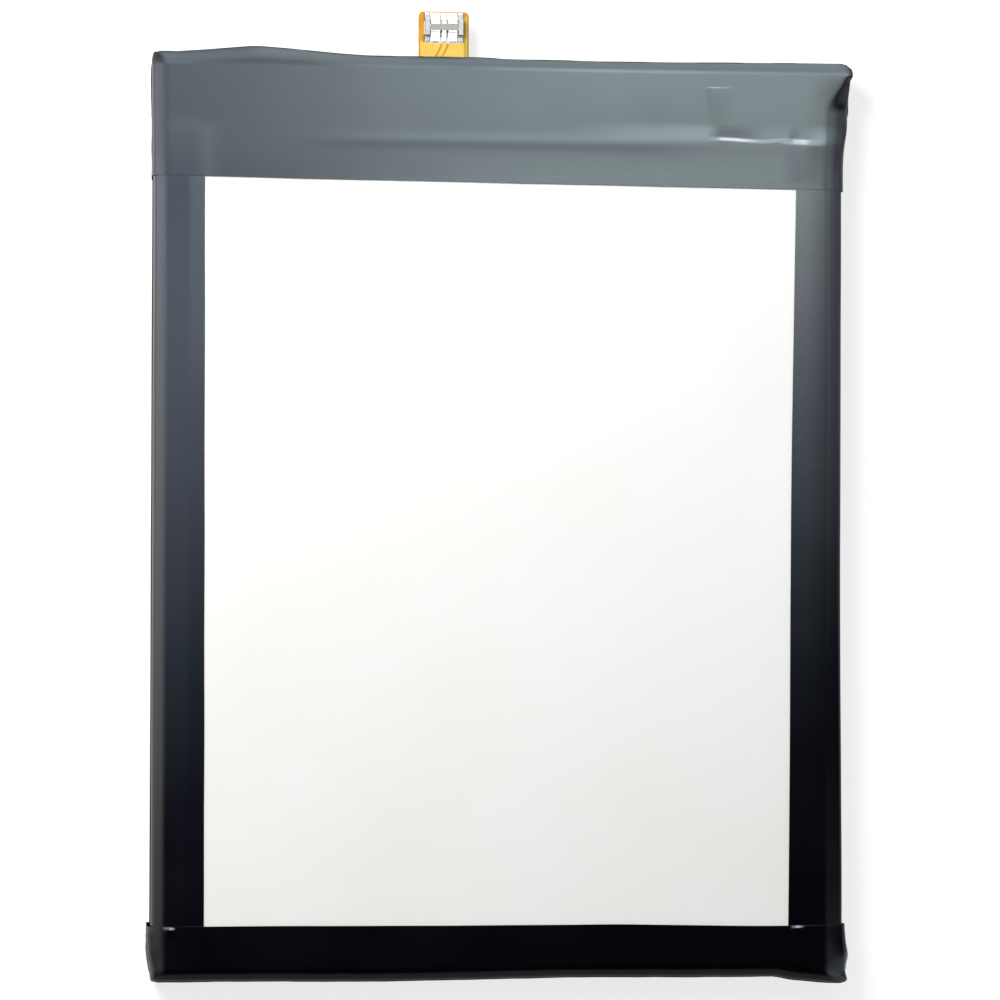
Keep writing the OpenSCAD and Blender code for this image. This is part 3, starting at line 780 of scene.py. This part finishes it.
def flex_sheet(name, material, z_low, z_high, inset=0.0):
    """The flex circuit as one closed sheet from inside the head to its end."""
    end = TAIL_HIGH[1] - inset
    stations = list(np.arange(ROOT_LOW[1] + 3, end - FLEX_CORNER_R - 0.03, 0.06))
    stations += list(end - FLEX_CORNER_R * (1 - np.sin(np.linspace(0.02, math.pi / 2, 12))))
    across = 28
    top, low = [], []
    for y in stations:
        half = max(flex_outline(y, inset), 0.02)
        for u in np.linspace(-1, 1, across + 1):
            top.append((HINGE[0] + half * u, y, z_high))
            low.append((HINGE[0] + half * u, y, z_low))
    rows, cols = len(stations), across + 1
    total = rows * cols
    faces = grid_faces(rows, cols)
    faces += [f[::-1] for f in grid_faces(rows, cols, total)]
    rim = [r * cols for r in range(rows)]
    rim += [(rows - 1) * cols + c for c in range(1, cols)]
    rim += [r * cols + cols - 1 for r in range(rows - 2, -1, -1)]
    rim += list(range(cols - 2, 0, -1))
    for a, b in zip(rim, rim[1:] + rim[:1]):
        faces.append((a, b, b + total, a + total))
    return mesh_piece(name, top + low, faces, material)


def line(x, y):
    """Points along y, at one x or at an x for each."""
    return np.c_[np.broadcast_to(x, np.shape(y)), y]


def raised_area(name, edges, z_low, z_high, material):
    """Closed thin plates, each between two side curves given as points from foot to head."""
    points, faces = [], []
    for left, right in edges:
        start, count = len(points), len(left)
        for z in (z_high, z_low):
            for a, b in zip(left, right):
                points += [(*a, z), (*b, z)]
        under = start + 2 * count
        for i in range(count - 1):
            a = start + 2 * i
            c = under + 2 * i
            faces += [(a, a + 1, a + 3, a + 2), (c, c + 2, c + 3, c + 1)]
            faces += [(a, a + 2, c + 2, c), (a + 1, c + 1, c + 3, a + 3)]
        last, low_last = start + 2 * (count - 1), under + 2 * (count - 1)
        faces += [(start, under, under + 1, start + 1), (last, last + 1, low_last + 1, low_last)]
    return mesh_piece(name, points, faces, material, True)


def mounds(name, spots, base_z, material):
    """Rounded blobs on a surface; each spot is (x, y, half width, half length, height)."""
    around, rings = 20, 6
    points, faces = [], []
    for x, y, wide, long, tall in spots:
        start = len(points)
        for r in range(rings):
            tilt = r / rings * math.pi / 2
            for c in range(around):
                turn = 2 * math.pi * c / around
                cx = math.copysign(abs(math.cos(turn)) ** 0.6, math.cos(turn))
                cy = math.copysign(abs(math.sin(turn)) ** 0.6, math.sin(turn))
                points.append((x + wide * cx * math.cos(tilt), y + long * cy * math.cos(tilt),
                               base_z + tall * math.sin(tilt)))
        points.append((x, y, base_z + tall))
        faces += grid_faces(rings, around, start, True)
        last = start + (rings - 1) * around
        faces += [(last + c, last + (c + 1) % around, len(points) - 1) for c in range(around)]
        faces.append([start + c for c in range(around - 1, -1, -1)])
    return mesh_piece(name, points, faces, material)


def flex_tail():
    """Continuous flex with its copper areas under the film, running across the hinge."""
    under, over = TAIL_LOW[2] + 0.01, TAIL_HIGH[2]
    sheet = flex_sheet("flex_film", FLEX, under, over - 0.03)
    rim, strip = 0.16, 0.3
    half = (TAIL_HIGH[0] - TAIL_LOW[0]) / 2 - rim
    foot = ROOT_LOW[1] + 3.2
    pads_y = PADS_LOW[1] + 0.1
    count = 60
    ys = np.linspace(foot, pads_y, count)

    def lane(top_x):
        """A gap between copper areas: straight at the pads, then leaning to the left."""
        return top_x - 0.62 * smooth(0, 1, (pads_y - ys) / 1.9) - 0.12 * smooth(0.6, 2.4, pads_y - ys)

    gap = 0.2
    first, second = lane(HINGE[0] - 0.16), lane(HINGE[0] + 0.42)
    sides = ((HINGE[0] - half, first - gap / 2),
             (first + gap / 2, second - gap / 2),
             (second + gap / 2, HINGE[0] + half - strip))
    edges = [(line(a, ys), line(b, ys)) for a, b in sides]
    copper = raised_area("flex_copper_areas", edges, over - 0.05, over - 0.005, FLEX_COPPER)
    ground_y = np.linspace(foot, TAIL_HIGH[1] - 0.6, count)
    ground_x = HINGE[0] + half - strip + 0.12
    edges = [(line(ground_x, ground_y), line(ground_x + strip - 0.1, ground_y))]
    ground = raised_area("flex_ground_strip", edges, over - 0.05, over - 0.008, FLEX_EDGE)
    for piece in (sheet, copper, ground):
        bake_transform(piece)
    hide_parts("flex_tail", "flex_root")


def window_plate():
    """The opening in the flex round the connector, coloured pale as painted light for the brightness
    there, and the copper corners that frame it.
    """
    cx = (PADS_LOW[0] + PADS_HIGH[0]) / 2
    cy = (PADS_LOW[1] + PADS_HIGH[1]) / 2
    half_x = (PADS_HIGH[0] - PADS_LOW[0]) / 2
    half_y = (PADS_HIGH[1] - PADS_LOW[1]) / 2
    top = TAIL_HIGH[2]
    ys = np.linspace(cy - half_y - 0.08, min(cy + half_y + 0.06, TAIL_HIGH[1] - 0.08), 12)
    edges = [(line(cx - half_x - 0.1, ys), line(cx + half_x + 0.1, ys))]
    # the plate's pale colour is painted light for the bright flex round the connector
    painted_light_plate = raised_area("flex_pad_window_painted_light", edges, top - 0.05, top - 0.001, FLEX_PAINTED_LIGHT)
    thick, arm_x, arm_y = 0.2, 0.62, 0.75
    corners = []
    for sx in (-1, 1):
        for sy in (-1, 1):
            outer_x, outer_y = cx + sx * (half_x + 0.16), cy + sy * (half_y + 0.02)
            inner_y = outer_y - sy * thick
            for width, y_ends in ((arm_x, (outer_y, inner_y)),
                                  (thick, (inner_y, outer_y - sy * arm_y))):
                low_x, high_x = sorted((outer_x, outer_x - sx * width))
                corners.append((line(low_x, sorted(y_ends)), line(high_x, sorted(y_ends))))
    copper = raised_area("flex_copper_corners", corners, top - 0.04, top + 0.008, BARE_COPPER)
    for piece in (painted_light_plate, copper):
        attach(piece, "connector_tail")


def solder_fillets():
    """A small mound of solder at the toe of each contact and cap foot."""
    cx = (PADS_LOW[0] + PADS_HIGH[0]) / 2
    cy = (PADS_LOW[1] + PADS_HIGH[1]) / 2
    power = box_mm("power_contacts")
    signal = box_mm("signal_contacts")
    caps = box_mm("connector_end_caps")
    power_w = 0.76
    cap_w = power[0][0] - caps[0][0] - 0.05
    spots = []
    for sy in (-1, 1):
        toe = cy + sy * (power[1][1] - cy - 0.02)
        for x, wide, tall in ((power[0][0] + power_w / 2, power_w / 2 + 0.03, 0.12),
                              (power[1][0] - power_w / 2, power_w / 2 + 0.03, 0.12),
                              (cx, (signal[1][0] - signal[0][0]) / 2 + 0.02, 0.08),
                              (caps[0][0] + cap_w / 2 - 0.04, cap_w / 2 - 0.02, 0.09),
                              (caps[1][0] - cap_w / 2 + 0.04, cap_w / 2 - 0.02, 0.09)):
            spots.append((x, toe, wide, 0.17, tall))
    piece = mounds("solder_fillets", spots, PADS_HIGH[2] - 0.02, SOLDER)
    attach(piece, "connector_tail")


def connector_details():
    """Soft edges on the connector's metal and plastic."""
    nodes = frame["nodes"]
    for node, width in (("connector_housing", 0.03), ("connector_end_caps", 0.04),
                        ("power_contacts", 0.025), ("signal_contacts", 0.025),
                        ("solder_pads", 0.012), ("tail_stiffener", 0.03)):
        soften_edges(nodes[node], width)


# ---------------------------------------------------------------- studio


def stage_floor():
    """White light table, seen through from below so that the back can be looked at."""
    s = Shader("floor", (0.33, 0.33, 0.33), 0.9, Specular_IOR_Level=0.0)
    s.base.inputs["Emission Color"].default_value = (1, 1, 1, 1)
    s.base.inputs["Emission Strength"].default_value = 0.72
    s.bump((s.noise(2, 2), 0.01))
    clear = s.add("ShaderNodeBsdfTransparent")
    side = s.add("ShaderNodeNewGeometry")
    mix = s.add("ShaderNodeMixShader")
    s.join(side.outputs["Backfacing"], mix.inputs[0])
    s.join(s.base.outputs[0], mix.inputs[1])
    s.join(clear.outputs[0], mix.inputs[2])
    s.join(mix.outputs[0], s.tree.nodes["Material Output"].inputs["Surface"])
    size, far, level = 1500, 2200, -0.15
    points = [(-size, -size, level), (size, -size, level), (size, far, level), (-size, far, level)]
    floor = mesh_piece("floor", points, [(0, 1, 2, 3)], s.material, True)
    floor.visible_glossy = False


CAMERA_PLACE = np.array([-35.1, -4.5, 331.6])
CAMERA_TURN = (1.03, -6.14, 0.16)
CAMERA_LENS = 130.4


def camera():
    data = bpy.data.cameras.new("camera")
    data.lens = CAMERA_LENS
    data.clip_start, data.clip_end = 0.01, 10
    obj = bpy.data.objects.new("camera", data)
    obj.location = CAMERA_PLACE * MM
    obj.rotation_euler = [math.radians(a) for a in CAMERA_TURN]
    bpy.context.scene.collection.objects.link(obj)
    bpy.context.scene.camera = obj


def area_light(name, place, size, power, color=(1, 1, 1), aim=(0, 0, 0), shine=False):
    """A soft light aimed at a place; without shine it lights surfaces but isn't mirrored in them."""
    data = bpy.data.lights.new(name, "AREA")
    data.shape = "RECTANGLE"
    data.size, data.size_y = size[0] * MM, size[1] * MM
    data.energy = power
    data.color = color
    obj = bpy.data.objects.new(name, data)
    obj.location = np.array(place, float) * MM
    towards = Vector(np.array(aim, float) - np.array(place, float))
    obj.rotation_euler = towards.to_track_quat("-Z", "Y").to_euler()
    obj.visible_glossy = shine
    obj.visible_camera = False
    bpy.context.scene.collection.objects.link(obj)


def dome_shell(radius=3000, rows=48, cols=96):
    """An inward-facing sphere round the whole scene."""
    points = []
    for tilt in np.linspace(0.002, math.pi - 0.002, rows):
        for turn in np.arange(cols) * 2 * math.pi / cols:
            points.append((radius * math.sin(tilt) * math.cos(turn),
                           radius * math.sin(tilt) * math.sin(turn), radius * math.cos(tilt)))
    return points, grid_faces(rows, cols, 0, True)


class Sky(NodeMaterial):
    """Emission that depends only on direction, for what the glossy surfaces mirror."""

    def __init__(self, name):
        super().__init__(name)
        self.tree.nodes.clear()
        unit = self.add("ShaderNodeVectorMath", operation="NORMALIZE")
        self.join(self.add("ShaderNodeTexCoord").outputs["Object"], unit.inputs[0])
        self.axes = self.parts(unit.outputs[0])

    def step(self, axis, start, end, low=0.0, high=1.0):
        """A smooth step along one axis of the direction."""
        return self.map_range(self.axes[axis], (start, end), (low, high),
                              interpolation_type="SMOOTHSTEP")

    def ramp(self, axis, start, end, stops):
        """Colours along one axis; each stop is (direction, colour)."""
        node = self.add("ShaderNodeValToRGB")
        band = node.color_ramp
        for at, color in stops:
            where = (at - start) / (end - start)
            stop = band.elements.new(where)
            stop.color = (*color, 1)
        band.elements.remove(band.elements[0])
        band.elements.remove(band.elements[-1])
        self.join(self.map_range(self.axes[axis], (start, end), (0, 1)), node.inputs["Fac"])
        return node.outputs["Color"]

    def mix(self, factor, a, b, blend="MIX"):
        """Blends b into a by a factor; each may be a value or a node output."""
        node = self.add("ShaderNodeMix", data_type="RGBA", blend_type=blend)
        for key, value in (("Factor", factor), ("A", a), ("B", b)):
            socket = [i for i in node.inputs if i.name == key and i.enabled][0]
            if hasattr(value, "is_linked"):
                self.join(value, socket)
            else:
                socket.default_value = value if key == "Factor" else (*value, 1)
        return [o for o in node.outputs if o.enabled][0]

    def plus(self, a, b):
        return self.mix(1.0, a, b, "ADD")

    def times(self, a, b):
        return self.mix(1.0, a, b, "MULTIPLY")

    def share(self, amount, color):
        return self.mix(amount, (0, 0, 0), color)

    def shine(self, color, strength):
        glow = self.add("ShaderNodeEmission")
        out = self.add("ShaderNodeOutputMaterial")
        self.join(color, glow.inputs["Color"])
        glow.inputs["Strength"].default_value = strength
        self.join(glow.outputs[0], out.inputs["Surface"])


def reflection_dome():
    """What the film mirrors: bright over the head end and to the right, dark over the foot."""
    height = CAMERA_PLACE[2] - HEAD_HIGH[2]

    def seen_from(y):
        """Direction in which the camera sees a place along the flat front mirrored."""
        return (y - CAMERA_PLACE[1]) / math.hypot(height, y - CAMERA_PLACE[1])

    start, end = -0.35, 0.6
    sky = Sky("reflection_dome")
    left = sky.ramp("y", start, end, [(seen_from(y), c) for y, c in (
        (-44, (0.0001, 0.0001, 0.0008)), (-35.5, (0.0008, 0.0004, 0.0028)),
        (-24.7, (0.005, 0.0048, 0.009)), (-13.9, (0.0175, 0.0255, 0.0325)),
        (-3.1, (0.039, 0.044, 0.0595)), (7.7, (0.0605, 0.0715, 0.0925)),
        (18.5, (0.0765, 0.098, 0.12)), (29.3, (0.08, 0.094, 0.129)),
        (36, (0.063, 0.079, 0.099)), (41, (0.073, 0.086, 0.106)))])
    right = sky.ramp("y", start, end, [(seen_from(y), c) for y, c in (
        (-22, (0.0001, 0.0001, 0.0006)), (-14.8, (0.0014, 0.002, 0.0045)),
        (-4, (0.0125, 0.0165, 0.021)), (6.8, (0.043, 0.055, 0.066)),
        (17.6, (0.108, 0.116, 0.14)), (28.4, (0.17, 0.19, 0.205)),
        (32.5, (0.18, 0.21, 0.205)), (36, (0.27, 0.337, 0.34)),
        (44, (0.27, 0.33, 0.344)))])
    flat = sky.mix(sky.step("x", 0.034, 0.09), left, right)
    for start_x, end_x, level in ((0.19, 0.34, 0.38), (0.55, 0.9, 0.75), (-0.2, -0.55, 0.2)):
        flat = sky.times(flat, sky.step("x", start_x, end_x, 1.0, level))
    # only over the head end does the light reach down to the horizon, for the rolled end
    over_head = sky.step("y", 0.12, 0.3)
    for start_x, end_x in ((0.55, 0.3), (-0.4, -0.15)):
        over_head = sky.times(over_head, sky.step("x", start_x, end_x))
    height_fade = sky.mix(over_head, sky.step("z", 0.25, 0.8, 0.4, 1.0),
                          sky.step("z", -0.95, 0.5, 0.12, 1.45))
    flat = sky.times(flat, height_fade)
    # low light from both sides, which the rolled long edges mirror
    glow = sky.ramp("y", -0.6, 0.6, [
        (-0.35, (0.012, 0.011, 0.010)), (-0.1, (0.036, 0.033, 0.031)),
        (0.0, (0.1, 0.1, 0.102)), (0.12, (0.16, 0.17, 0.19)), (0.3, (0.06, 0.06, 0.06)),
        (0.5, (0.012, 0.012, 0.012))])
    left_glow = sky.share(sky.step("x", 0.03, -0.7), glow)
    right_glow = sky.ramp("y", -0.8, 0.3, [
        (-0.7, (0.02, 0.021, 0.026)), (-0.4, (0.045, 0.048, 0.06)),
        (-0.25, (0.03, 0.032, 0.04)), (-0.14, (0.022, 0.023, 0.029)),
        (-0.1, (0.003, 0.003, 0.004)), (-0.03, (0, 0, 0.001)), (0.004, (0.007, 0.008, 0.01)),
        (0.037, (0.024, 0.023, 0.028)), (0.1, (0.016, 0.017, 0.024)),
        (0.25, (0.014, 0.015, 0.02))])
    right_glow = sky.share(sky.step("x", 0.25, 0.5), right_glow)
    foot_glow = sky.step("y", -0.55, -0.85, 0.0, 0.012)
    above = flat
    for light in (left_glow, right_glow, foot_glow):
        above = sky.plus(above, light)
    # below the horizon lies the table, with painted shade that makes it darker straight under the pack
    table = sky.step("x", 0.1, -0.4, 0.012, 0.03)
    for amount, light in ((0.34, left_glow), (0.5, right_glow)):
        table = sky.plus(table, sky.share(amount, light))
    table = sky.times(table, sky.step("z", -0.985, -0.8, 0.08, 1.0))
    horizon = sky.mix(over_head, sky.step("z", -0.22, 0.1), (1, 1, 1))
    # the colours above are as seen in the film, which mirrors this share of the light
    normal_reflectance = 0.04
    sky.shine(sky.mix(horizon, table, above), 1 / normal_reflectance)
    sky.material.cycles.emission_sampling = "NONE"
    points, faces = dome_shell()
    dome = mesh_piece("reflection_dome", points, faces, sky.material)
    for ray in ("camera", "diffuse", "shadow", "transmission", "volume_scatter"):
        setattr(dome, "visible_" + ray, False)


def studio():
    """Light table, near soft light at the upper left, even fill, and a small lamp for sparkle."""
    stage_floor()
    reflection_dome()
    area_light("key_softbox", (-94, 106, 170), (90, 90), 0.595, (1, 0.985, 0.965), (0, 0, 0))
    area_light("sparkle_lamp", (330, 825, 1210), (60, 110), 1.3, aim=(20, 20, 0), shine=True)
    world = bpy.data.worlds.new("world")
    world.use_nodes = True
    tree = world.node_tree
    ray = tree.nodes.new("ShaderNodeLightPath")
    level = tree.nodes.new("ShaderNodeMapRange")
    fill, backdrop = 0.4, 1.0
    level.inputs["To Min"].default_value = fill
    level.inputs["To Max"].default_value = backdrop
    tree.links.new(ray.outputs["Is Camera Ray"], level.inputs["Value"])
    tree.nodes["Background"].inputs["Color"].default_value = (1, 1, 1, 1)
    tree.links.new(level.outputs["Result"], tree.nodes["Background"].inputs["Strength"])
    bpy.context.scene.world = world
    bpy.context.scene.view_settings.view_transform = "Standard"


finish_cad_nodes()
film_tapes()
label_sheet()
flex_tail()
window_plate()
solder_fillets()
connector_details()
studio()
camera()
